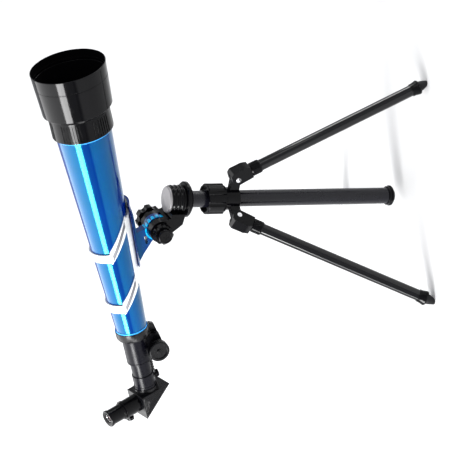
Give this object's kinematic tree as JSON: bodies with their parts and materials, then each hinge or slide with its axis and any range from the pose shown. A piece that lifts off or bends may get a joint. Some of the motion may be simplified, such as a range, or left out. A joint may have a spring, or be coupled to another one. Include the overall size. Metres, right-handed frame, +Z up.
{
  "type": "children's telescope on table tripod",
  "caption": "Children's tapered refractor with dew shield, star diagonal and rack focuser, on a tilting pan head and folding table tripod with sliding column.",
  "frame": {"origin": "on the floor, under the middle of the overall box", "axes": "+Z up; +X is the way the telescope points at rest; +Y to its left"},
  "size_m": [0.4227, 0.2431, 0.4449],
  "materials": {
    "blue_shell": "high gloss moulded blue plastic",
    "blue_bracket": "glossy dark blue plastic",
    "white_trim": "glossy white plastic",
    "grey_inlay": "ribbed grey plastic",
    "black_gloss": "glossy black plastic",
    "black_satin": "satin black plastic",
    "black_tube": "glossy black lacquer on thin tube",
    "silver_disc": "silver-grey plastic",
    "steel": "bright steel",
    "black_rubber": "black rubber",
    "lens_glass": "clear optical glass",
    "mirror_glass": "front-silvered mirror",
    "white_plastic": "white nylon"
  },
  "bodies": {
    "tripod_hub": {"tripod_hub": "black_gloss", "column_collet": "white_plastic"},
    "leg_1": {"leg_1_knuckle": "black_gloss", "leg_1_pin": "steel", "leg_1_collar": "black_gloss", "leg_1_tube": "black_tube", "leg_1_ferrule": "black_gloss", "leg_1_tip": "black_rubber"},
    "leg_2": {"leg_2_knuckle": "black_gloss", "leg_2_pin": "steel", "leg_2_collar": "black_gloss", "leg_2_tube": "black_tube", "leg_2_ferrule": "black_gloss", "leg_2_tip": "black_rubber"},
    "leg_3": {"leg_3_knuckle": "black_gloss", "leg_3_pin": "steel", "leg_3_collar": "black_gloss", "leg_3_tube": "black_tube", "leg_3_ferrule": "black_gloss", "leg_3_tip": "black_rubber"},
    "lock_nut": {"column_lock_nut": "black_gloss"},
    "column": {"column_tube": "black_tube", "column_cap": "black_gloss", "pan_base": "black_gloss", "pan_washer": "steel", "pan_screw": "steel"},
    "head": {"head_body": "black_gloss", "head_lid": "silver_disc", "altitude_axle": "steel"},
    "star_knob": {"star_knob": "black_gloss"},
    "round_knob": {"round_knob": "black_gloss", "round_knob_cap": "black_gloss"},
    "telescope": {"cradle_bracket": "blue_bracket", "cradle_frame": "white_trim", "cradle_inlays": "grey_inlay", "main_tube": "blue_shell", "tube_baffle": "black_satin", "lens_cell": "black_gloss", "objective_lens": "lens_glass", "lens_retainer": "black_satin", "dew_shield": "black_gloss", "rear_cap": "black_satin", "focuser_barrel": "black_satin", "pinion_housing": "black_satin"},
    "focus": {"pinion_gear": "black_satin", "pinion_shaft": "steel", "focus_knob_near": "black_satin", "focus_knob_far": "black_satin"},
    "draw": {"draw_tube": "black_gloss", "draw_rack": "black_satin", "draw_collar": "black_gloss"},
    "diagonal_screw": {"diagonal_screw": "black_gloss"},
    "diagonal": {"diagonal_body": "black_satin", "diagonal_mirror": "mirror_glass", "eyepiece_holder": "black_gloss"},
    "eyepiece_screw": {"eyepiece_screw": "black_gloss"},
    "eyepiece": {"eyepiece_barrel": "black_gloss", "eyepiece_cup": "black_gloss", "eye_lens": "lens_glass", "field_lens": "lens_glass"}
  },
  "joints": [
    {"name": "leg_1_fold", "type": "hinge", "parent": "tripod_hub", "child": "leg_1", "pos_m": [0.03895, 0.01765, 0.20369], "axis": [-0.9157, -0.4019, 0], "range_deg": [0, 28.6]},
    {"name": "leg_2_fold", "type": "hinge", "parent": "tripod_hub", "child": "leg_2", "pos_m": [0.03457, -0.02659, 0.20369], "axis": [0.8192, -0.5736, 0], "range_deg": [0, 28.6]},
    {"name": "leg_3_fold", "type": "hinge", "parent": "tripod_hub", "child": "leg_3", "pos_m": [0.0746, -0.00792, 0.20369], "axis": [0.0872, 0.9962, 0], "range_deg": [0, 28.6]},
    {"name": "column_slide", "type": "slide", "parent": "tripod_hub", "child": "column", "axis": [0, 0, 1], "range_m": [-0.006, 0.15]},
    {"name": "lock_nut_turn", "type": "hinge", "parent": "tripod_hub", "child": "lock_nut", "pos_m": [0.0492, -0.0057, 0.21539], "axis": [0, 0, 1], "range_deg": [0, 180]},
    {"name": "head_pan", "type": "hinge", "parent": "column", "child": "head", "pos_m": [0.0492, -0.0057, 0.26159], "axis": [0, 0, 1], "continuous": true},
    {"name": "altitude_tilt", "type": "hinge", "parent": "head", "child": "telescope", "pos_m": [0.0192, -0.0057, 0.28739], "axis": [0, -1, 0], "range_deg": [-40, 40]},
    {"name": "star_knob_turn", "type": "hinge", "parent": "head", "child": "star_knob", "pos_m": [0.0192, 0.0086, 0.28739], "axis": [0, 1, 0], "range_deg": [0, 360]},
    {"name": "round_knob_turn", "type": "hinge", "parent": "head", "child": "round_knob", "pos_m": [0.0192, -0.023, 0.28739], "axis": [0, -1, 0], "range_deg": [0, 360]},
    {"name": "focus_turn", "type": "hinge", "parent": "telescope", "child": "focus", "pos_m": [-0.11989, -0.0057, 0.27189], "axis": [0, -1, 0], "range_deg": [-134, 191]},
    {"name": "draw_slide", "type": "slide", "parent": "telescope", "child": "draw", "axis": [-0.9397, 0, -0.342], "range_m": [-0.014, 0.02]},
    {"name": "diagonal_screw_turn", "type": "hinge", "parent": "draw", "child": "diagonal_screw", "pos_m": [-0.15714, -0.0057, 0.26578], "axis": [0.342, 0, -0.9397], "range_deg": [0, 360]},
    {"name": "diagonal_roll", "type": "hinge", "parent": "draw", "child": "diagonal", "pos_m": [-0.16989, -0.0057, 0.27391], "axis": [0.9397, 0, 0.342], "continuous": true},
    {"name": "eyepiece_screw_turn", "type": "hinge", "parent": "diagonal", "child": "eyepiece_screw", "pos_m": [-0.19339, -0.01292, 0.29403], "axis": [-0.9397, 0, -0.342], "range_deg": [0, 360]},
    {"name": "eyepiece_slide", "type": "slide", "parent": "diagonal", "child": "eyepiece", "axis": [-0.3304, -0.2588, 0.9077], "range_m": [0, 0.01]}
  ],
  "couplings": [
    {"joint": "focus_turn", "follows": "draw_slide", "rad_per_m": 166.67}
  ]
}
